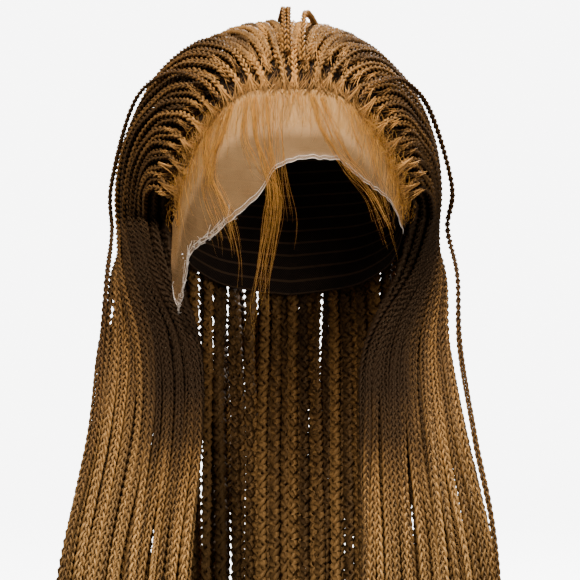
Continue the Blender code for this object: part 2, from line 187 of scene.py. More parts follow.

# How each layer of bundles is plaited, outermost first: its braids, a strand's sides, samples in a period,
# the period in metres at the root, how many times longer it is at the tip, the width, and the painted shade
# that it gets for lying under the layers outside it
SIDE_PLAITS = (
    (6, 4, 8, 0.0132, 1.4, 1.12, 0.0),
    (5, 3, 6, 0.0138, 1.3, 1.25, 0.45),
    (4, 3, 4, 0.013, 1.3, 1.6, 0.75),
)
BACK_PLAITS = (
    (6, 3, 7, 0.0138, 1.3, 1.42, 0.1),
    (6, 3, 4, 0.0135, 1.3, 2.0, 0.6),
)
LAYER_PLAITS = {"left": SIDE_PLAITS, "right": SIDE_PLAITS, "back": BACK_PLAITS}
# How dark the hair is painted down its stations, as painted shade: on a curtain's crown side and front
# side, and down the back
SHADE = (
    # station, crown, front, back
    (0.0, 0.0, 0.05, 0.0),
    (1.5, 0.22, 0.38, 0.0),
    (3.0, 0.7, 0.68, 0.08),
    (6.0, 0.7, 0.8, 0.14),
    (8.0, 0.64, 0.9, 0.18),
    (9.5, 0.68, 0.99, 0.22),
    (10.5, 0.66, 1.0, 0.26),
    (11.5, 0.5, 1.0, 0.3),
    (12.0, 0.3, 0.88, 0.3),
    (12.4, 0.22, 0.38, 0.28),
    (12.8, 0.16, 0.12, 0.24),
    (15.0, 0.1, 0.05, 0.1),
)
# The station at which each braid of a bundle in turn is rooted, counted from its layer's own root
SIDE_ROOTS = (1.2, 0.0, 2.3, 1.35, 0.0, 2.1)
BACK_ROOTS = (1.1, 0.0, 2.0, 1.5, 2.8, 2.3)
DEEP_ROOTS = (0.3, 1.0, 0.0, 0.7, 1.3, 0.5)
# The back bundles whose first braid stands in the first row; the others start a row behind
FIRST_ROW_BACK = (0, 2, 3, 5)
SECOND_ROW = 0.8
# The share of the braids that are dull, and how dull
DULL_BRAIDS = 0.32
DULLNESS = 0.72
STRAY_DULLNESS = 0.55
# Root tufts: half their width, and how far their hair is rooted behind the braid's root
TUFT_REACH = 0.0056
TUFT_BACK = 0.0034

# The hair's colours: at the roots, down the lengths, and the dark colour that painted shade and the darker
# fibres are mixed towards
DARK = (0.014, 0.005, 0.0018)
HAIR_COLOURS = {
    "left": ((0.66, 0.305, 0.075), (0.58, 0.305, 0.092), DARK),
    "right": ((0.64, 0.295, 0.073), (0.56, 0.295, 0.09), DARK),
    "back": ((0.64, 0.295, 0.073), (0.52, 0.27, 0.082), DARK),
    "loose": ((0.5, 0.21, 0.042), (0.36, 0.185, 0.055), DARK),
    "wisps": ((0.62, 0.285, 0.05), (0.62, 0.285, 0.05), (0.24, 0.09, 0.014)),
}
# How a single hair thins: shares of its length, and its thickness there
TUFT_TAPER = ((0, 0.3, 0.8, 1), (0.35, 1.0, 0.9, 0.5))
MAT_TAPER = ((0, 0.4, 1), (0.5, 1, 0.4))
WISP_TAPER = ((0, 0.3, 1), (1, 0.9, 0.3))
FUZZ_TAPER = ((0, 1), (1, 0.3))
NO_TAPER = ((0, 1), (1, 1))

# Threads and stitches in a metre of cloth, as radians of their sines
LACE_PITCH = 5200.0
CAP_PITCH = 2600.0
STITCH_PITCH = 520.0
FINE_THREAD = 0.00013

# The studio's lamps: place, the point that each is turned to, size, power and colour
WHITE = (1, 1, 1)
LAMPS = {
    "key": ((-0.45, -1.8, 1.3), (0, 0, -0.14), 0.45, 84, (1.0, 0.97, 0.93)),
    "top": ((0.1, -0.3, 1.6), (0, 0, -0.1), 0.5, 36, WHITE),
    "fill": ((1.2, -1.7, 0.2), (0, 0, -0.3), 0.8, 20, WHITE),
    "back": ((0.7, 1.9, 1.1), (0, 0, -0.2), 0.9, 62, WHITE),
}
WORLD_STRENGTH = 0.22
BACKDROP_STRENGTH = 7.0

# Baby hair that hangs down in front of the lace: how many hairs, and pixels of the photo from root to tip
WISPS = (
    # hairs, pixels
    (7, ((212, 112), (207, 140), (209, 172), (220, 198), (231, 224), (236, 258), (239, 292))),
    (6, ((232, 106), (222, 134), (214, 160), (216, 186), (228, 214), (235, 242))),
    (5, ((246, 100), (244, 132), (252, 158), (262, 176), (271, 184))),
    (7, ((256, 98), (258, 134), (266, 164), (273, 188), (272, 216), (264, 262), (261, 306), (264, 352))),
    (5, ((266, 97), (270, 138), (274, 170), (281, 202), (275, 246), (263, 292), (247, 344))),
    (3, ((277, 95), (279, 140), (283, 180), (287, 222), (280, 268))),
    (7, ((312, 96), (322, 126), (337, 154), (352, 174), (371, 196), (385, 226), (398, 268))),
    (4, ((322, 98), (334, 128), (346, 156), (361, 176), (379, 204), (390, 236), (396, 262))),
    (3, ((350, 108), (356, 134), (360, 156), (353, 170), (346, 179))),
    (3, ((366, 122), (372, 146), (377, 172), (384, 198), (391, 228))),
    (4, ((222, 116), (214, 148), (206, 178), (208, 204), (222, 236), (226, 262))),
)

SIDE_SIGN = {"left": -1.0, "right": 1.0}
CENTRE = np.array((0.0, 0.0, -CROWN_HEIGHT))


def column(table, which, at):
    """A table's column read between its rows, by the first column."""
    rows = np.array(table, float)
    return np.interp(at, rows[:, 0], rows[:, which])


def together(*parts):
    """Numbers or arrays put side by side along a last axis."""
    return np.stack(np.broadcast_arrays(*parts), -1)


def size_of(vectors):
    return np.linalg.norm(vectors, axis=-1)


def unit(vectors):
    return vectors / np.maximum(size_of(vectors), 1e-12)[..., None]


def running(steps, axis=0):
    """The running totals of steps, from 0."""
    return np.concatenate((0 * steps.take([0], axis), steps.cumsum(axis)), axis)


def direction(azimuth, polar):
    """The unit vector at these angles in degrees, from the front and from the crown."""
    azimuth, polar = np.radians(azimuth), np.radians(polar)
    return together(np.sin(polar) * np.sin(azimuth), -np.sin(polar) * np.cos(azimuth), np.cos(polar))


def head_radius(way):
    """How far the head's surface lies from its centre: 1 over the root of the sum of the powers of the
    direction over the half sizes, all of exponent HEAD_SQUARENESS."""
    half = np.where(way[..., 2] > 0, CROWN_HEIGHT, LOWER_HEIGHT)
    total = (
        np.abs(way[..., 0] / (CAP_WIDTH / 2)) ** HEAD_SQUARENESS
        + np.abs(way[..., 1] / (CAP_DEPTH / 2)) ** HEAD_SQUARENESS
        + np.abs(way[..., 2] / half) ** HEAD_SQUARENESS
    )
    return total ** (-1 / HEAD_SQUARENESS)


def over_head(way, height):
    """The points this far outside the head's surface."""
    return CENTRE + way * (head_radius(way) + height)[..., None]


def polar_at_drop(azimuth, drop):
    """The angle from the crown of the point on the head that lies this far under the crown."""
    level = CROWN_HEIGHT - np.asarray(drop, float)
    half = np.where(level > 0, CROWN_HEIGHT, LOWER_HEIGHT)
    turn = np.radians(azimuth)
    flat = (
        np.abs(np.sin(turn) / (CAP_WIDTH / 2)) ** HEAD_SQUARENESS
        + np.abs(np.cos(turn) / (CAP_DEPTH / 2)) ** HEAD_SQUARENESS
    ) ** (-1 / HEAD_SQUARENESS)
    shrink = (1 - np.abs(level / half) ** HEAD_SQUARENESS) ** (1 / HEAD_SQUARENESS)
    return np.degrees(np.arctan2(flat * shrink, level))


def down_head(azimuth, drop):
    """The direction from the head's centre of the point this far under the crown."""
    return direction(azimuth, polar_at_drop(azimuth, drop))


def cap_edge_polar(azimuth):
    """The angle from the crown of the cap's edge."""
    return polar_at_drop(azimuth, CAP_HEIGHT * column(CAP_EDGE, 1, np.abs(azimuth)))


def soft_edge_drop(azimuth):
    """How far the cap's edge lies under the crown, with the table's corners rounded off."""
    turns = np.asarray(azimuth, float)[..., None] + np.linspace(-6, 6, 9)
    return CAP_HEIGHT * column(CAP_EDGE, 1, np.abs(turns)).mean(-1)


def flow_direction(side, fan, share):
    """The direction from the head's centre of a braid: a Bezier curve of four directions."""
    root = column(FLOW, 1, fan)
    setback = math.degrees(ROOT_SETBACK / CROWN_HEIGHT)
    corners = (
        direction(root, cap_edge_polar(root) - setback),
        direction(column(FLOW, 2, fan), column(FLOW, 3, fan)),
        direction(column(FLOW, 4, fan), column(FLOW, 5, fan)),
        direction(column(FLOW, 6, fan), FALL_POLAR),
    )
    share = np.asarray(share, float)[..., None]
    rest = 1 - share
    weights = (rest**3, 3 * share * rest**2, 3 * share**2 * rest, share**3)
    way = unit(sum(weight * corner for weight, corner in zip(weights, corners)))
    return way * np.array((SIDE_SIGN[side], 1.0, 1.0))


def fan_sizes(side, fan):
    """The hair's full thickness where a fan leaves the head."""
    if side == "left":
        stack, temple = STACK_LEFT, TEMPLE_STACK_LEFT
    else:
        stack, temple = STACK_RIGHT, TEMPLE_STACK_RIGHT
    return np.interp(fan, (0.0, 1.0, 1.4, 2.0), (STACK_BACK, stack, stack, temple))


def layer_fullness(zone, layer, station):
    since = station - LAYER_ROOTS[zone][layer]
    if since < 0:
        return 0.0
    return ROOT_FULLNESS[since] if since < len(ROOT_FULLNESS) else 1.0


def settled_share(zone, side, station):
    """How far a fall's thickness has gone over to its lower thickness."""
    if zone == "back":
        return 0.0
    table = FALL_LEFT if side == "left" else FALL_RIGHT
    return table[station - len(HEAD_STATIONS)][5]


def layer_heights(zone, side, fan, station):
    """The lower face of each layer over the head or the fall's base, and its thickness, outermost first."""
    count = len(LAYER_ROOTS[zone])
    fullness = [layer_fullness(zone, layer, station) for layer in range(count)]
    full = fan_sizes(side, fan)
    if station < len(HEAD_STATIONS):
        loft = HEAD_STATIONS[station][1]
    else:
        loft = 1.0
        full = full + (CHEST_STACK - full) * settled_share(zone, side, station)
    spare = np.maximum(full - count * BRAID_WIDTH - (count - 1) * LAYER_GAP, 0) * loft
    height = CAP_WALL + CAP_CLEARANCE + 0 * full
    found = []
    for layer in reversed(range(count)):
        share = fullness[layer] / sum(fullness)
        thickness = BRAID_WIDTH * fullness[layer] + spare * share
        found.append((height, thickness))
        if fullness[layer]:
            height = height + thickness + LAYER_GAP
    return found[::-1]


def side_fall_base(side, fan, row):
    """The inner face of a hanging side bundle, and the way out of it."""
    if side == "left":
        table, spread = FALL_LEFT, SPREAD_LEFT
    else:
        table, spread = FALL_RIGHT, SPREAD_RIGHT
    _, inner_across, inner_forward, outer_across, outer_forward, _ = table[row]
    inner = np.array((inner_across * CAP_WIDTH / 2, -inner_forward * CAP_DEPTH / 2))
    outer = np.array((outer_across * spread, -outer_forward * CAP_DEPTH / 2))
    along = outer - inner
    out = np.array((along[1], -along[0])) / np.linalg.norm(along)
    place = inner + along * (2 - fan)[..., None]
    return place * (SIDE_SIGN[side], 1), out * (SIDE_SIGN[side], 1) * np.ones_like(place)


def back_fall_base(side, fan, row):
    """The inner face of a hanging back bundle, and the way out of it."""
    _, spread, middle, edge = FALL_BACK[row]
    half = spread * SPREAD_BACK
    depth = CAP_DEPTH / 2
    place = together(fan * half, (edge + (middle - edge) * (1 - fan**2)) * depth)
    out = unit(together(2 * fan * (middle - edge) * depth, half))
    return place * (SIDE_SIGN[side], 1), out * (SIDE_SIGN[side], 1)


def line_point(zone, side, fan, station, height):
    """The place of a braid line at a station, this far over the head or over the fall's base."""
    fan, height = np.broadcast_arrays(np.asarray(fan, float), np.asarray(height, float))
    last = len(HEAD_STATIONS) - 1
    if station <= last:
        share = np.interp(station, range(last + 1), [row[0] for row in HEAD_STATIONS])
        return over_head(flow_direction(side, fan, share), height)
    row = station - len(HEAD_STATIONS)
    base = back_fall_base if zone == "back" else side_fall_base
    table = FALL_BACK if zone == "back" else FALL_LEFT
    place, out = base(side, fan, row)
    flat = place + out * height[..., None]
    fall_level = over_head(direction(np.array(90.0), np.array(FALL_POLAR)), 0 * fan)[..., 2]
    level = fall_level - table[row][0] * FALL_LENGTH
    return together(flat[..., 0], flat[..., 1], level)


STATIONS = len(HEAD_STATIONS) + len(FALL_LEFT)


def curve(points, steps):
    """A Catmull-Rom curve through points given as rows, with this many steps between each two."""
    points = np.asarray(points, float)
    padded = np.concatenate((2 * points[:1] - points[1:2], points, 2 * points[-1:] - points[-2:-1]))
    t = (np.arange(steps) / steps)[None, :, None]
    a, b, c, d = (padded[start : start + len(points) - 1, None, :] for start in range(4))
    body = 0.5 * (
        2 * b + (c - a) * t + (2 * a - 5 * b + 4 * c - d) * t**2 + (3 * b - a - 3 * c + d) * t**3
    )
    return np.concatenate((body.reshape(-1, points.shape[-1]), points[-1:]))


def lengths_along(line):
    """How far along a line each of its points lies."""
    return running(size_of(np.diff(line, axis=0)))


def read_at(at, along, rows):
    """Rows of numbers that belong to places along a line, read at other places."""
    return together(*(np.interp(at, along, numbers) for numbers in rows.T))


def evenly(points, guide, count):
    """The line and the rows that go with it at evenly spaced places, and the line's length."""
    along = lengths_along(points)
    at = np.linspace(0, along[-1], count)
    return read_at(at, along, points), read_at(at, along, guide), along[-1]


def line_frame(line, guide):
    """Unit vectors along the line, out of it near the guide, and across it."""
    along = unit(np.gradient(line, axis=0))
    out = unit(guide - along * (guide * along).sum(-1, keepdims=True))
    return along, out, np.cross(along, out)


def grid_faces(index, closed=True):
    """The quads between the rows of a grid of point numbers, whose columns may run all round."""
    after = np.roll(index, -1, axis=1)
    if not closed:
        index, after = index[:, :-1], after[:, :-1]
    return np.stack((index[:-1], after[:-1], after[1:], index[1:]), -1).reshape(-1, 4)


class Tubes:
    """Tubes of hair that are gathered into one mesh, each with its own strip of the texture."""

    def __init__(self):
        self.points, self.quads, self.ends = [], [], []
        self.place, self.values = [], []
        self.rows = 0
        self.count = 0
        self.longest = 0.0

    def add(self, line, out, across, radius, sides, tone=0.5, depth=0.0, down=0.0, middle=None):
        """A tube round a line. Its ring starts at the out direction and turns towards across. depth is how
        dark its
        material paints it: painted shade, and on some braids and single hairs a darkness at random. Where
        it is a strand of a plait, middle is the plait's own line, and the points near it lie in the
        creases, where the material paints shade."""
        steps = len(line)
        turn = 2 * np.pi * np.arange(sides) / sides
        radius = np.broadcast_to(radius, (steps,))[:, None, None]
        ring = np.cos(turn)[None, :, None] * out[:, None] + np.sin(turn)[None, :, None] * across[:, None]
        places = line[:, None] + radius * ring
        # crest: 1 on a strand's outside, falling to 0 near the plait's line in the creases, where the
        # material paints shade
        crest_lit = np.ones((steps, sides))
        if middle is not None:
            crest_lit = np.clip((size_of(places - middle[:, None]) - CREASE_SHADE_REACH) / CREASE_SHADE_FADE, 0, 1)
        self.points.append(places.reshape(-1, 3))
        index = self.count + np.arange(steps * sides).reshape(steps, sides)
        self.quads.append(grid_faces(index))
        self.ends.append(np.stack((index[0, ::-1], index[-1])))
        lengths = lengths_along(line)
        low, high = np.arange(sides) / sides, (np.arange(sides) + 1) / sides
        start, stop = lengths[:-1, None], lengths[1:, None]
        corners = ((start, low), (start, high), (stop, high), (stop, low))
        uv = np.stack([together(*corner) for corner in corners], 2)
        spread = np.where(np.arange(sides) % 2 == 0, 0.0, END_SPREAD)
        caps = [together(at + spread, low) for at in (0.0, lengths[-1] - END_SPREAD)]
        self.place.append((uv.reshape(-1, 2), np.concatenate(caps), self.rows))
        values = np.repeat(together(tone, depth, down, lengths)[:, :3], sides, axis=0)
        self.values.append(np.concatenate((values, crest_lit.reshape(-1, 1)), axis=1))
        self.count += steps * sides
        self.rows += 1
        self.longest = max(self.longest, lengths[-1])

    def finish(self, name, finish, slot, replaced=()):
        """Makes the mesh: quads first, then each tube's two ends."""
        points = np.concatenate(self.points)
        quads = np.concatenate(self.quads)
        loops = [quads.ravel()] + [ends.ravel() for ends in self.ends]
        sizes = [np.full(len(quads), 4)] + [np.full(2, ends.shape[1]) for ends in self.ends]
        sizes, vertex = np.concatenate(sizes), np.concatenate(loops)
        mesh = bpy.data.meshes.new(name)
        mesh.vertices.add(len(points))
        mesh.vertices.foreach_set("co", points.ravel())
        mesh.loops.add(len(vertex))
        mesh.loops.foreach_set("vertex_index", vertex.astype(np.int32))
        mesh.polygons.add(len(sizes))
        mesh.polygons.foreach_set("loop_start", running(sizes)[:-1].astype(np.int32))
        mesh.update(calc_edges=True)
        columns = max(1, round(math.sqrt(self.rows * STRIP_WIDTH / self.longest)))
        cells = math.ceil(self.rows / columns)
        parts = [(sides, row) for sides, _, row in self.place]
        parts += [(caps, row) for _, caps, row in self.place]
        own = np.concatenate([part for part, _ in parts])
        row = np.concatenate([np.full(len(part), row) for part, row in parts])
        packed = together(
            (row % columns + 0.03 + 0.94 * own[:, 0] / self.longest) / columns,
            (row // columns + 0.08 + 0.84 * own[:, 1]) / cells,
        )
        mesh.uv_layers.new(name="OFBake").data.foreach_set("uv", packed.ravel())
        mesh.uv_layers.new(name="strand").data.foreach_set("uv", own.ravel())
        for label, numbers in zip(("tone", "depth", "down", "crest_lit"), np.concatenate(self.values).T):
            point_numbers(mesh, label, numbers)
        mesh.polygons.foreach_set("use_smooth", np.ones(len(sizes), bool))
        mesh.validate()
        return add_piece(name, mesh, finish, replaced)


def point_numbers(mesh, label, numbers):
    """Gives each point of a mesh a number that its material reads."""
    layer = mesh.attributes.new(label, "FLOAT", "POINT")
    layer.data.foreach_set("value", np.ascontiguousarray(numbers, np.float32))


def put(name, data):
    """A new object in the scene."""
    made = bpy.data.objects.new(name, data)
    bpy.context.scene.collection.objects.link(made)
    return made


def add_piece(name, mesh, finish, replaced=()):
    """Puts in a piece that moves with the wig and takes the place of these solids."""
    mesh.materials.append(finish)
    made = put(name, mesh)
    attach(made, "root")
    if replaced:
        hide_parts(*replaced)
    return made


def operator(operation, swapped=False):
    """A method that adds the math node of this operation on two numbers."""

    def work_out(term, other):
        first, second = (other, term) if swapped else (term, other)
        return term.paint.term("ShaderNodeMath", {0: first, 1: second}, operation=operation)

    return work_out


class Term:
    """A number in a material's nodes. Sums and products of it add the nodes that work them out."""

    def __init__(self, paint, socket):
        self.paint = paint
        self.socket = socket

    __add__ = __radd__ = operator("ADD")
    __mul__ = __rmul__ = operator("MULTIPLY")
    __sub__, __rsub__ = operator("SUBTRACT"), operator("SUBTRACT", swapped=True)

    def between(self, low, high):
        """0 below low, 1 above high, smooth between them."""
        values = {"Value": self, "From Min": low, "From Max": high}
        return self.paint.term("ShaderNodeMapRange", values, interpolation_type="SMOOTHSTEP")


class Paint:
    """A material and its nodes."""

    def __init__(self, name):
        self.material = bpy.data.materials.new(name)
        self.material.use_nodes = True
        self.nodes = self.material.node_tree.nodes
        self.links = self.material.node_tree.links
        self.shader = self.nodes["Principled BSDF"]

    def node(self, kind, values, **settings):
        made = self.nodes.new(kind)
        for name, value in settings.items():
            setattr(made, name, value)
        self.fill(made, values)
        return made

    def fill(self, node, values):
        for name, value in values.items():
            if isinstance(value, Term):
                self.links.new(value.socket, node.inputs[name])
            else:
                node.inputs[name].default_value = value

    def term(self, kind, values, output=0, **settings):
        return Term(self, self.node(kind, values, **settings).outputs[output])

    def attribute(self, name):
        return self.term("ShaderNodeAttribute", {}, "Fac", attribute_name=name)

    def mix(self, factor, first, second):
        return self.term("ShaderNodeMix", {0: factor, 6: first, 7: second}, 2, data_type="RGBA")

    def noise(self, vector, scale=1.0, detail=2.0, roughness=0.55):
        values = {"Vector": vector, "Scale": scale, "Detail": detail, "Roughness": roughness}
        return self.term("ShaderNodeTexNoise", values)

    def place(self):
        return self.term("ShaderNodeTexCoord", {}, "Object")

    def vector(self, x, y, z):
        return self.term("ShaderNodeCombineXYZ", {0: x, 1: y, 2: z})

    def uv(self, name):
        """The two numbers of a UV map."""
        parts = self.node("ShaderNodeSeparateXYZ", {0: self.term("ShaderNodeUVMap", {}, uv_map=name)})
        return Term(self, parts.outputs[0]), Term(self, parts.outputs[1])

    def sine(self, turn):
        return self.term("ShaderNodeMath", {0: turn}, operation="SINE")

    def net(self, across, along, pitch):
        """Threads that cross at a slant: the square of the sine of (across + along) * pitch, times the
        square of the sine of (across - along) * pitch."""
        first, second = self.sine((across + along) * pitch), self.sine((across - along) * pitch)
        return (first * first) * (second * second)

    def bump(self, height, distance, strength=1.0):
        values = {"Height": height, "Distance": distance, "Strength": strength}
        return self.term("ShaderNodeBump", values)

    def finish(self, **values):
        self.fill(self.shader, {name.replace("_", " "): value for name, value in values.items()})
        return self.material


def hair_material(name):
    """Fine straight fibre: streaks along the strand, each braid a little lighter or darker, the roots
    warmer than
    the lengths. Shade is painted in: the creases of the plait, the inner layers and the stations that the
    shade table darkens are mixed towards the dark colour, as are some braids and single hairs at random."""
    warm, cool, shadow = HAIR_COLOURS[name]
    paint = Paint(f"hair_{name}")
    along, around = paint.uv("strand")
    tone, depth, down, crest_lit = (paint.attribute(label) for label in ("tone", "depth", "down", "crest_lit"))
    seed = tone * 61.0
    fibre = paint.noise(paint.vector(along * 90.0, around * 9.0, seed), detail=3.0, roughness=0.6)
    streak = paint.noise(paint.vector(along * 28.0, around * 2.0, seed + 17.0))
    light = paint.mix(down.between(0.35, 0.80), (*warm, 1), (*cool, 1))
    amount = (fibre * 0.9 + streak * 0.5 + tone * 0.75).between(0.50, 1.50)
    dark = paint.mix(0.82, light, (*shadow, 1))
    colour = paint.mix(amount, dark, light)
    # Painted shade from the depth attribute: the shade table and the inner layers, with random dark braids
    # and hairs
    colour = paint.mix(depth, colour, (*shadow, 1))
    # Painted shade in the creases of the plait
    colour = paint.mix((1.0 - crest_lit) * 0.94, colour, (*shadow, 1))
    return paint.finish(
        Base_Color=colour,
        Roughness=0.34 + fibre * 0.16 + depth * 0.30,
        Specular_IOR_Level=0.34,
        Specular_Tint=(1.0, 0.76, 0.46, 1),
        Normal=paint.bump(fibre, 0.0004, 0.6),
    )


def lace_material():
    """Sheer net. Threads cross at a slant, and next to the hairline it is full of knots and fine hair."""
    paint = Paint("lace_net")
    across, along = paint.uv("lace")
    near = paint.attribute("near_hair")
    rim = paint.attribute("rim")
    place = paint.place()
    threads = paint.net(across, along, LACE_PITCH)
    knots = paint.noise(place, 900.0, 2.0)
    cloud = paint.noise(place, 60.0, 3.0)
    strokes = paint.noise(paint.vector(across * 900.0, along * 70.0, 3.0), detail=3.0)
    full = near * (0.55 + strokes * 0.5)
    alpha = 0.09 + threads * 0.07 + cloud * 0.10 + full * 0.40 + rim * 0.16
    pale = paint.mix(cloud, (0.62, 0.320, 0.120, 1), (0.76, 0.440, 0.185, 1))
    haired = paint.mix((near * strokes).between(0.22, 0.65), pale, (0.52, 0.26, 0.070, 1))
    colour = paint.mix(rim * 0.8, haired, (0.74, 0.56, 0.42, 1))
    return paint.finish(
        Base_Color=colour,
        Alpha=alpha,
        Roughness=0.75,
        Specular_IOR_Level=0.3,
        Normal=paint.bump(threads * 0.4 + knots * near, 0.0002, 0.5),
    )


def cap_material():
    """Dark stretch net: small diamonds of thread, with the rows of machine stitches that carry the hair."""
    paint = Paint("cap_net")
    across, along = paint.uv("cap")
    net = paint.net(across, along, CAP_PITCH)
    row = paint.sine(along * STITCH_PITCH)
    rows = (row * row).between(0.86, 0.99)
    cloud = paint.noise(paint.place(), 90.0, 3.0)
    thread = paint.mix(cloud, (0.022, 0.013, 0.008, 1), (0.055, 0.032, 0.019, 1))
    hole = paint.mix(net.between(0.10, 0.45), (0.004, 0.0025, 0.0015, 1), thread)
    colour = paint.mix(rows * 0.6, hole, (0.085, 0.047, 0.024, 1))
    return paint.finish(
        Base_Color=colour,
        Roughness=0.9,
        Specular_IOR_Level=0.1,
        Normal=paint.bump(net + rows, 0.0003, 0.7),
    )


def plait(tubes, knots, ups, rng, form, tone, shade=None, stations=None, tip=0.032, lead=0.010):
    """Plaits three strands round a line. Strand k swings across by the sine of its turn, and through the
    plait by the sine of twice its turn, so that each passes over one neighbour and under the next. form is
    the strands' sides, the samples in a period, the period, how many times longer it is at the tip, and the
    width. shade gives the painted shade of the hair at a station, and stations has the knots' own."""
    vary = rng.uniform
    sides, per_period, period, stretch, width = form
    fine = curve(knots, CURVE_STEPS)
    knot_numbers = range(len(knots))
    marks = np.interp(np.linspace(0, len(knots) - 1, len(fine)), knot_numbers, stations or knot_numbers)
    path, guide, length = evenly(fine, np.column_stack((curve(ups, CURVE_STEPS), marks)), LINE_SAMPLES)
    reach = np.linspace(0, length, LINE_SAMPLES)
    pace = 1 / (period * vary(0.93, 1.08) * np.interp(reach / length, (0.25, 0.75), (1, stretch)))
    turns = running((pace[1:] + pace[:-1]) / 2 * np.diff(reach))
    count = max(6, round(turns[-1] * per_period)) + 1
    at = np.interp(np.linspace(0, turns[-1], count), turns, reach)
    line, guide = read_at(at, reach, path), read_at(at, reach, guide)
    # Painted shade along the plait, read from the shade function at each sample's station
    dark = 0.0 if shade is None else np.clip(shade(guide[:, 3]), 0, 1)
    _, out, across = line_frame(line, guide[:, :3])
    twist = 0.35 * np.sin(at * vary(9, 16) + vary(0, 6.28))[:, None]
    cosine, sine = np.cos(twist), np.sin(twist)
    out, across = out * cosine + across * sine, across * cosine - out * sine
    swell = np.interp(at, (0, lead, length - tip, length), (0.55, 1, 1, 0.16)) * width
    swell = swell * (1 + 0.05 * np.sin(at * 70 + vary(0, 6.28)))
    turn = vary(0, 2 * np.pi) + 2 * np.pi * np.linspace(0, turns[-1], count)
    for strand in range(3):
        own = turn + 2 * np.pi * strand / 3
        shift = across * (SWING_ACROSS * swell * np.sin(own))[:, None]
        shift = shift + out * (SWING_THROUGH * swell * np.sin(2 * own))[:, None]
        radius = STRAND_RADIUS * swell * (1.0 + 0.06 * rng.standard_normal())
        if sides == 3:
            radius = radius * THREE_SIDED_GROWTH
        own_tone = np.clip(tone + 0.10 * rng.standard_normal(), 0, 1)
        tubes.add(line + shift, out, across, radius, sides, own_tone, dark, at / length, line)


def shade_of(zone, fan, layer_shade=0.0, dull=0.0):
    """A function that gives the painted shade of the hair at a station of a line, from the SHADE table. The
    third argument adds the painted shade of the braid's layer, darker for layers under others, and dull is
    for single dark braids."""
    front_side = np.clip((fan - 1.30) / 0.30, 0, 1)

    def shade(station):
        if zone == "back":
            crown_side = np.clip((fan - 0.35) / 0.30, 0, 1) * np.interp(station, (5, 8), (1, 0))
            dark = column(SHADE, 3, station)
            dark = dark + (column(SHADE, 1, station) - dark) * crown_side
        else:
            dark = column(SHADE, 1, station) * (1 - front_side) + column(SHADE, 2, station) * front_side
        dark = dark + (1 - dark) * dull * np.interp(station, (1.5, 4, 10, 13), (0, 1, 1, 0.4))
        return dark + (1 - dark) * layer_shade * np.interp(station, (0, 12, 14), (1, 1, 0.5))

    return shade


def bundle_braids(tubes, tufts, zone, side, fans, layer, tip, rng, first_row):
    """The braids of one bundle. Each keeps its place across the bundle, wanders a little, and lies in its
    inner or its outer half in turn."""
    vary = rng.uniform
    count, *form, layer_painted_shade = LAYER_PLAITS[zone][layer]
    first = LAYER_ROOTS[zone][layer]
    starts = DEEP_ROOTS if layer else (BACK_ROOTS if zone == "back" else SIDE_ROOTS)
    for braid in range(count):
        root = first + starts[braid]
        if root == 0 and not first_row:
            root = SECOND_ROW
        phase = vary(0, 6.28, 4)
        knots, ups = [], []
        stations = [root] + [station for station in range(STATIONS) if station > root + 0.45]
        home = (braid + 0.5 - 0.4 * (zone == "back" and layer == 1)) / count
        inner = 0.30 if (braid + layer) % 2 else 0.98
        for station in stations:
            whole = min(max(round(station + 0.25), first), STATIONS - 1)
            hang = np.clip((station - 6) / 5, 0, 1)
            sway = (0.20 + (0.05 if zone == "back" else 0.35) * hang) / count
            wander = sway * (np.sin(station * 0.9 + phase[0]) + 0.6 * np.sin(station * 1.9 + phase[1]))
            across = np.clip(home + wander, 0.05, 0.95)
            if root == 0 and station < 2:
                even = 0.5 if zone == "back" else (0.25 if braid < 3 else 0.75)
                across = even + (across - even) * station / 2
            fan = fans[0] + (fans[1] - fans[0]) * across
            if station == root:
                height = np.array(CAP_WALL + 0.0009)
                start_fan = fan
            else:
                low, thick = layer_heights(zone, side, np.array(fan), whole)[layer]
                half = np.minimum(BRAID_WIDTH * 0.46, thick / 2)
                share = np.clip(inner + 0.22 * np.sin(station * 0.7 + phase[2]), 0, 1)
                height = low + half + (thick - 2 * half) * share
            place = line_point(zone, side, fan, station, height)
            knots.append(place)
            ups.append(line_point(zone, side, fan, station, height + 0.001) - place)
        reach = 1 + tip + vary(-0.12, 0.04)
        knots[-1] = knots[-2] + (knots[-1] - knots[-2]) * reach
        tone = vary(0.0, 1.0)
        dull = DULLNESS if rng.random() < DULL_BRAIDS else 0.0
        # Painted shade of this braid down its stations: from the SHADE table, deeper in inner layers, and
        # darker if dull
        shade = shade_of(zone, fan, layer_painted_shade, dull)
        plait(tubes, np.array(knots), unit(np.array(ups)), rng, form, tone, shade, stations)
        if layer == 0 and root < 2.4:
            root_tuft(tufts, zone, side, start_fan, root, knots[1], rng, tone)


def add_hair(tubes, line, guide, radius, taper, tone, depth=0.0):
    """One hair, as a tube with three sides that thins along its length."""
    _, out, across = line_frame(line, guide)
    swell = np.interp(np.linspace(0, 1, len(line)), *taper)
    tubes.add(line, out, across, radius * swell, 3, tone, depth)


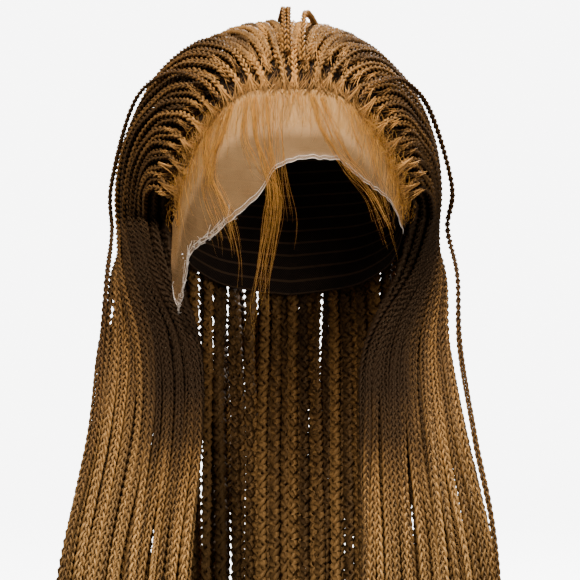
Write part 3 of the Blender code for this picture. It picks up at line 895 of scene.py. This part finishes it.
def root_tuft(tufts, zone, side, fan, root, towards, rng, tone):
    """The hair that is drawn together into a braid at its root: thin tapered locks that spread along the
    cap and meet where the plait begins."""
    vary = rng.uniform
    hairs = 10 if root == 0 else 4
    base = line_point(zone, side, fan, root, CAP_WALL + 0.0004)
    beside = line_point(zone, side, fan + 0.02, root, CAP_WALL + 0.0004)
    along_edge = unit(beside - base)
    up = unit(base - CENTRE)
    ahead = unit(towards - base)
    meet = base + ahead * vary(0.0085, 0.0125) + up * vary(0.0012, 0.0026)
    tilt = vary(-0.0016, 0.0016)
    for hair in range(hairs):
        across = (hair + 0.5) / hairs * 2 - 1 + vary(-0.22, 0.22)
        foot = base + along_edge * (across * TUFT_REACH + tilt)
        foot = foot - ahead * (TUFT_BACK - 0.0026 * across**2 + vary(-0.0012, 0.0012)) * (root == 0)
        foot = foot + up * vary(-0.0002, 0.0004)
        middle = foot + (meet - foot) * 0.5 + up * vary(-0.0002, 0.0020)
        middle = middle - along_edge * across * vary(0.0002, 0.0012)
        goal = meet + along_edge * across * 0.0009 + ahead * vary(-0.001, 0.003)
        line, guide, _ = evenly(curve((foot, middle, goal), 6), np.tile(up, (13, 1)), 6)
        shade = np.clip(tone * 0.5 + vary(0.0, 0.6), 0, 1)
        depth = vary(0, 0.5) ** 2
        add_hair(tufts, line, guide, vary(0.00034, 0.00052), TUFT_TAPER, shade, depth)


def hairline_mat(tufts, sign, low, high, count, rng):
    """Loose hair along the hairline, combed back over the cap between the tufts."""
    vary = rng.uniform
    for _ in range(count):
        azimuth = sign * vary(low, high)
        edge = float(soft_edge_drop(azimuth))
        t = np.linspace(0, 1, 5)
        reach = vary(0.006, 0.015)
        turn = azimuth + sign * vary(-5, 9) * t
        drop = edge + 0.0022 - vary(0, 0.004) - reach * t
        way = down_head(turn, np.maximum(drop, 0.004))
        line = over_head(way, CAP_WALL + 0.0003 + vary(0.0004, 0.0022) * np.sin(t * 2.6))
        radius = vary(0.00020, 0.00036)
        add_hair(tufts, line, way, radius, MAT_TAPER, vary(0.2, 0.9), vary(0.0, 0.7))


def bundle_fans(zone, place):
    """The side that a bundle lies on, and the fans at its two edges."""
    if zone != "back":
        return zone, (2 - place / SIDE_BUNDLES, 2 - (place + 1) / SIDE_BUNDLES)
    half = BACK_BUNDLES // 2
    if place < half:
        return "left", ((half - place) / half, (half - place - 1) / half)
    return "right", ((place - half) / half, (place - half + 1) / half)


def make_braids():
    """One piece for each bundle of the solids, and the root tufts of each side."""
    zones = (
        # zone, bundles, random seed, how far a layer's tip lengths are moved on
        ("left", SIDE_BUNDLES, 0, 3),
        ("right", SIDE_BUNDLES, 1000, 3),
        ("back", BACK_BUNDLES, 5000, 2),
    )
    finish = {zone: hair_material(zone) for zone, *_ in zones}
    tufts = {zone: Tubes() for zone in finish}
    for zone, bundles, seed, move in zones:
        for layer in range(len(LAYER_ROOTS[zone])):
            for place in range(bundles):
                rng = np.random.default_rng(seed + 100 * layer + place)
                side, fans = bundle_fans(zone, place)
                tip = TIP_LENGTHS[(place + move * layer) % len(TIP_LENGTHS)]
                first_row = zone != "back" or place in FIRST_ROW_BACK
                tubes = Tubes()
                bundle_braids(tubes, tufts[zone], zone, side, fans, layer, tip, rng, first_row)
                name = f"{zone}_{layer + 1}_{place + 1}"
                tubes.finish(f"braids_{name}", finish[zone], f"braids_{zone}", (f"lock_{name}",))
    rng = np.random.default_rng(321)
    hairline_mat(tufts["left"], -1, 12, 62, 190, rng)
    hairline_mat(tufts["right"], 1, 12, 62, 190, rng)
    hairline_mat(tufts["back"], 1, -14, 14, 90, rng)
    for zone, gathered in tufts.items():
        gathered.finish(f"root_tufts_{zone}", finish[zone], f"braids_{zone}")


def outer_point(zone, side, fan, station, lift):
    """A point over the outermost layer, at a whole station or between two."""
    low = min(int(station), STATIONS - 2)
    ends = []
    for whole in (low, low + 1):
        height, thickness = layer_heights(zone, side, np.array(fan), whole)[0]
        ends.append(line_point(zone, side, fan, whole, height + thickness + lift))
    return ends[0] + (ends[1] - ends[0]) * (station - low)


def outer_points(zone, side, rows, lift, rise):
    """Points over the outermost layer for rows of station, fan and share of the rise."""
    return np.array([outer_point(zone, side, fan, at, lift + rise * share) for at, fan, share in rows])


def make_loose_braids(finish):
    """The arches on the crown, the left one of two braids, and the single braids that leave the mass."""
    seat = 2 * PIECE_GAP + BRAID_WIDTH / 2
    for number, (name, rows) in enumerate(LOOPS.items()):
        side = name.rsplit("_", 1)[1]
        knots = outer_points("back", side, rows, seat, LOOP_HEIGHT)
        ups = outer_points("back", side, rows, 0.03, 0.0) - CENTRE
        tubes = Tubes()
        rng = np.random.default_rng(7000 + number)
        shifts = (-0.0017, 0.0017) if side == "left" else (0.0,)
        for shift in shifts:
            moved = knots + np.array((shift, 0, 0))
            moved[0, 2] -= 0.003
            moved[-1, 2] -= 0.003
            width = 0.84 if len(shifts) == 2 else 1.0
            plait(tubes, moved, unit(ups), rng, (5, 9, 0.0115, 1.0, width), 0.75, tip=0.001, lead=0.001)
        tubes.finish(f"{name}_plait", finish, "loose_braids", (name,))
    for number, (name, rows) in enumerate(STRAYS.items()):
        side = name.rsplit("_", 1)[1]
        knots = outer_points(side, side, rows, seat, STRAY_LIFT)
        above = outer_points(side, side, rows, seat + 0.001, STRAY_LIFT)
        tubes = Tubes()
        rng = np.random.default_rng(7100 + number)
        # Painted shade down the stray braid, from the SHADE table's crown side, with the darkness of a dull
        # braid
        shade = shade_of(side, 1.0, 0.0, STRAY_DULLNESS)
        stations = [station for station, _, _ in rows]
        plait(tubes, knots, unit(above - knots), rng, (4, 8, 0.0130, 1.3, 1.0), 0.5, shade, stations)
        tubes.finish(f"{name}_plait", finish, "loose_braids", (name,))


def shell(name, inner, outer, closed, finish, replaced, maps, values):
    """A thin closed sheet between two grids of points. closed says whether its columns run all round, maps
    has its UV maps, and values the numbers that its material reads."""
    rows, columns = inner.shape[:2]
    step = rows * columns
    whole = np.arange(step).reshape(rows, columns)
    inside = grid_faces(whole, closed)
    outside = inside[:, ::-1] + step
    rims = []
    lines = [whole[0], whole[-1][::-1]]
    if closed:
        lines = [np.append(whole[0], whole[0, 0]), np.append(whole[-1], whole[-1, 0])[::-1]]
    else:
        lines += [whole[::-1, 0], whole[:, -1]]
    for line in lines:
        rims.append(np.stack((line[1:], line[:-1], line[:-1] + step, line[1:] + step), -1))
    faces = np.concatenate([inside, outside] + rims)
    mesh = bpy.data.meshes.new(name)
    points = np.concatenate((inner.reshape(-1, 3), outer.reshape(-1, 3)))
    mesh.from_pydata(points.tolist(), [], faces.tolist())
    corner = np.zeros(len(mesh.loops), np.int32)
    mesh.loops.foreach_get("vertex_index", corner)
    for label, place in maps.items():
        both = np.tile(place.reshape(-1, 2), (2, 1))
        mesh.uv_layers.new(name=label).data.foreach_set("uv", both[corner].astype(np.float32).ravel())
    for label, numbers in values.items():
        point_numbers(mesh, label, np.tile(numbers.ravel(), 2))
    mesh.polygons.foreach_set("use_smooth", np.ones(len(mesh.polygons), bool))
    mesh.update()
    return add_piece(name, mesh, finish, replaced)


def area_of(grid):
    """The area of a grid of points."""
    down, across = grid[1:, :-1] - grid[:-1, :-1], grid[:-1, 1:] - grid[:-1, :-1]
    return size_of(np.cross(down, across)).sum()


def make_cap():
    """The net cap, finely divided so that it is round inside, with a bound edge."""
    columns, rings = 90, 20
    skin = 0.0002
    azimuths = np.arange(columns) * 360 / columns - 180
    share = 0.02 + 0.98 * (np.arange(rings + 1) / rings)[:, None]
    edge = polar_at_drop(azimuths, soft_edge_drop(azimuths))
    way = direction(azimuths[None, :], edge[None, :] * share)
    flat = np.zeros(way.shape[:2])
    bind = np.clip((share - 0.965) / 0.01, 0, 1) * 0.0003
    inner = over_head(way, flat + skin)
    outer = over_head(way, flat + CAP_WALL - skin + bind)
    maps = {"cap": together(np.radians(azimuths) * 0.085, 0.16 * share)}
    cap = shell("cap_net_shell", inner, outer, True, cap_material(), ("cap",), maps, {})
    area = area_of(np.concatenate((inner, inner[:, :1]), axis=1))
    return cap, area


def make_lace():
    """The lace, close on the head's form and standing off at the ear tab, with puckers at its cut edge: the
    squares and cubes of the share of its length, times sines of the azimuth."""
    azimuths = np.arange(-81, 63.01, 2.0)
    rows = 18
    drop = soft_edge_drop(azimuths) - 0.0016
    upper = polar_at_drop(azimuths, drop)
    ragged = 0.0006 * np.sin(azimuths * 1.3) + 0.0004 * np.sin(azimuths * 2.9 + 1)
    lower = polar_at_drop(azimuths, LACE_HEIGHT * column(LACE_EDGE, 1, azimuths) + ragged)
    flare = TAB_FLARE * column(LACE_EDGE, 2, azimuths)
    share = (np.arange(rows + 1) / rows)[:, None]
    way = direction(azimuths[None, :], upper + (lower - upper) * share)
    pucker = 0.0008 * share**3 * np.sin(azimuths * 0.55 + 3 * share) ** 2
    tab_side = np.clip((-azimuths - 18) / 20, 0, 1)
    pucker = pucker + 0.0009 * share**2 * tab_side * np.sin(azimuths * 0.9 + 9 * share)
    height = 0.0014 * (1 - share) ** 8 + flare * share + 0.0003 + np.abs(pucker)
    inner = over_head(way, height)
    outer = over_head(way, height + 0.00022)
    down = running(size_of(np.diff(inner, axis=0)))
    across = running(size_of(np.diff(inner, axis=1)), 1)
    near = np.clip(1 - (down - 0.022) / 0.012, 0, 1)
    rim = np.clip(1 - (down[-1:] - down) / 0.0035, 0, 1)
    rim = rim * np.interp(azimuths, (-81, -50, -20, -8, 24, 40, 63), (0.8, 0.9, 0.7, 1, 1, 0.6, 0.5))
    maps, values = {"lace": together(across, down)}, {"near_hair": near, "rim": rim}
    lace = shell("lace_front", inner, outer, False, lace_material(), ("front_lace",), maps, values)
    return lace, area_of(inner), across[rows // 2, -1], down[-1].max(), inner


def photo_point(pixel, lift):
    """The place seen at a pixel of the photo: this far off the head's form, or below the lace on an
    upright plane in front of it."""
    eye = np.array(CAMERA_AT)
    scale = VIEW_WIDTH / PHOTO_SIZE / VIEW_DISTANCE
    middle = PHOTO_SIZE / 2
    ray = unit(np.array(((pixel[0] - middle) * scale, 1.0, (middle - pixel[1]) * scale)))
    reach = np.linspace(1.76, 1.92, 321)
    points = eye + ray * reach[:, None]
    from_centre = points - CENTRE
    inside = size_of(from_centre) < head_radius(unit(from_centre)) + lift
    hit = points[np.argmax(inside)] if inside.any() else points[-1]
    if pixel[1] > HANG_ROW or not inside.any():
        hit = eye + ray * (1.802 - min(pixel[1] - HANG_ROW, 40) * 0.00006) / ray[1]
    return hit


def make_wisps(finish):
    """Baby hair in front of the lace, short hair on it, and curly fuzz at the temples."""
    rng = np.random.default_rng(42)
    vary = rng.uniform
    tubes = Tubes()
    for hairs, pixels in WISPS:
        knots = np.array([photo_point(pixel, 0.0022) for pixel in pixels])
        for _ in range(3 * hairs):
            sway = np.linspace(0.3, 1, len(knots))[:, None]
            shift = rng.normal(0, 0.0030, (1, 3)) * (1, 0.4, 0.3) * sway
            shift = shift + rng.normal(0, 0.0011, (len(knots), 3)) * (1, 0.3, 1)
            reach = vary(0.55, 1.0)
            line = curve(knots + shift, 8)
            line = line[: max(8, int(len(line) * reach))]
            line, guide, _ = evenly(line, np.tile((0.0, -1.0, 0.1), (len(line), 1)), 4 * len(pixels))
            add_hair(tubes, line, guide, vary(0.00009, 0.00019), WISP_TAPER, vary(0.2, 1))
    tubes.finish("baby_hair", finish, "loose_braids")

    tubes = Tubes()
    for _ in range(230):
        azimuth = vary(-58, 56)
        start = float(soft_edge_drop(azimuth)) - 0.001
        length = vary(0.012, 0.034)
        lean = vary(-7, 7)
        bend = vary(-3, 3)
        t = np.linspace(0, 1, 6)
        turn = azimuth + lean * t + bend * np.sin(t * 3)
        way = down_head(turn, start + length * t)
        line = over_head(way, 0.0011 + 0.0008 * np.sin(t * 3) + vary(0, 0.0006))
        add_hair(tubes, line, way, vary(0.00010, 0.00018), FUZZ_TAPER, vary(0.2, 1))
    tubes.finish("short_hair", finish, "loose_braids")

    tubes = Tubes()
    for _ in range(260):
        sign = 1 if rng.random() < 0.6 else -1
        azimuth = sign * vary(30, 64)
        edge = float(soft_edge_drop(azimuth))
        way = down_head(azimuth, edge + vary(-0.006, 0.003))
        start = over_head(way, np.array(0.0018))
        side_way = unit(np.cross(way, (0, 0, 1.0)))
        downward = np.cross(way, side_way)
        radius, turns = vary(0.002, 0.006), vary(0.5, 1.6)
        t = np.linspace(0, 1, 9)[:, None]
        spin = vary(0, 6.28) + turns * 6.28 * t
        swerve = vary(-1, 1, 2)
        curl = side_way * (np.cos(spin) - np.cos(spin[0])) + downward * (np.sin(spin) - np.sin(spin[0]))
        line = start + radius * curl
        line = line + t * 0.006 * (side_way * swerve[0] + downward * swerve[1]) + way * 0.004 * t
        guide = np.tile(way, (9, 1))
        add_hair(tubes, line, guide, vary(0.00010, 0.00018), FUZZ_TAPER, vary(0.0, 0.9))
    tubes.finish("temple_fuzz", finish, "loose_braids")


def make_edge_threads(edge):
    """Pale cut threads along the lace's free edge."""
    rng = np.random.default_rng(9)
    vary = rng.uniform
    paint = Paint("lace_thread")
    along, around = paint.uv("strand")
    fibre = paint.noise(paint.vector(along * 300.0, around * 3.0, 1.0))
    colour = paint.mix(fibre, (0.62, 0.50, 0.40, 1), (0.82, 0.72, 0.62, 1))
    finish = paint.finish(Base_Color=colour, Roughness=0.6, Normal=paint.bump(fibre, 0.0001, 0.5))
    tubes = Tubes()
    last = edge[-1]
    out_way = unit(last - CENTRE)
    for lift, inset, radius in ((0.0002, 0.0, 0.00022), (0.0004, 0.0016, 0.00016)):
        line = last + (edge[-2] - last) * inset / 0.002 + out_way * lift
        line = line + out_way * 0.0003 * np.sin(np.arange(len(line)) * 1.7)[:, None]
        line, guide, _ = evenly(curve(line, 2), curve(out_way, 2), 150)
        _, out, across = line_frame(line, guide)
        tubes.add(line, out, across, radius, 4)
    for _ in range(70):
        at = int(vary(2, len(last) * 0.42))
        start, way = last[at], out_way[at]
        side_way = unit(last[at + 1] - last[at - 1])
        t = np.linspace(0, 1, 7)[:, None]
        length = vary(0.004, 0.016)
        lean = vary(-1, 1)
        line = start + length * t * (side_way * lean + np.array((0, 0, 1.0)) * vary(-0.2, 0.9))
        line = line + way * 0.0012 * np.sin(t * 3.1) + side_way * 0.002 * np.sin(t * vary(2, 8))
        reach, way_out = size_of(line - CENTRE), unit(line - CENTRE)
        line = CENTRE + way_out * np.maximum(reach, head_radius(way_out) + 0.001)[:, None]
        add_hair(tubes, line, np.tile(way, (7, 1)), FINE_THREAD, NO_TAPER, 0.5)
    tubes.finish("lace_edge_threads", finish, "lace")


def make_stage():
    """A round white floor that bends up into a white wall all about: a profile turned round the Z axis."""
    turn = np.linspace(0, np.pi / 2, 9)
    reach = np.concatenate(((0.0001, 2.0), 3.2 + 1.2 * np.sin(turn), (4.4,)))
    level = np.concatenate(((0.0, 0.0), 1.2 - 1.2 * np.cos(turn), (6.0,))) + FLOOR_LEVEL
    bearing = np.radians(np.arange(0, 360, 7.5))
    reach, level = reach[:, None], level[:, None]
    places = together(reach * np.cos(bearing), reach * np.sin(bearing), level)
    faces = grid_faces(np.arange(places[..., 0].size).reshape(places.shape[:2]))[:, ::-1]
    mesh = bpy.data.meshes.new("studio_sweep")
    mesh.from_pydata(places.reshape(-1, 3).tolist(), [], faces.tolist())
    mesh.polygons.foreach_set("use_smooth", np.ones(len(faces), bool))
    paint = Paint("studio_white")
    cloud = paint.noise(paint.place(), 2.0, 1.0)
    white = paint.mix(cloud, (0.92, 0.92, 0.92, 1), (0.94, 0.94, 0.94, 1))
    glow = {"Emission_Color": (1, 1, 1, 1), "Emission_Strength": BACKDROP_STRENGTH}
    mesh.materials.append(paint.finish(Base_Color=white, Roughness=0.9, **glow))
    sweep = put("studio_sweep", mesh)
    sweep.visible_diffuse = False
    sweep.visible_glossy = False


def add_light(name, place, target, size, power, colour):
    """A round soft lamp, turned so that it shines at the target."""
    data = bpy.data.lights.new(name, "AREA")
    data.shape = "DISK"
    data.size = size
    data.energy = power
    data.color = colour
    lamp = put(name, data)
    lamp.location = place
    way = unit(np.array(target) - np.array(place))
    lamp.rotation_euler = (math.acos(-way[2]), 0, math.atan2(way[0], -way[1]) + math.pi)


def make_light_and_camera():
    world = bpy.data.worlds.new("studio")
    world.use_nodes = True
    glow = world.node_tree.nodes["Background"].inputs
    glow["Color"].default_value = (1, 1, 1, 1)
    glow["Strength"].default_value = WORLD_STRENGTH
    bpy.context.scene.world = world
    for name, lamp in LAMPS.items():
        add_light(name, *lamp)
    camera = bpy.data.cameras.new("camera")
    camera.sensor_width = SENSOR
    camera.lens = SENSOR * VIEW_DISTANCE / VIEW_WIDTH
    camera.clip_end = 50
    made = put("camera", camera)
    made.location = CAMERA_AT
    made.rotation_euler = (math.pi / 2, 0, 0)
    bpy.context.scene.camera = made


make_light_and_camera()
make_braids()
make_loose_braids(hair_material("loose"))
cap, cap_area = make_cap()
lace, lace_area, lace_width, lace_length, lace_grid = make_lace()
make_wisps(hair_material("wisps"))
make_edge_threads(lace_grid)
make_stage()
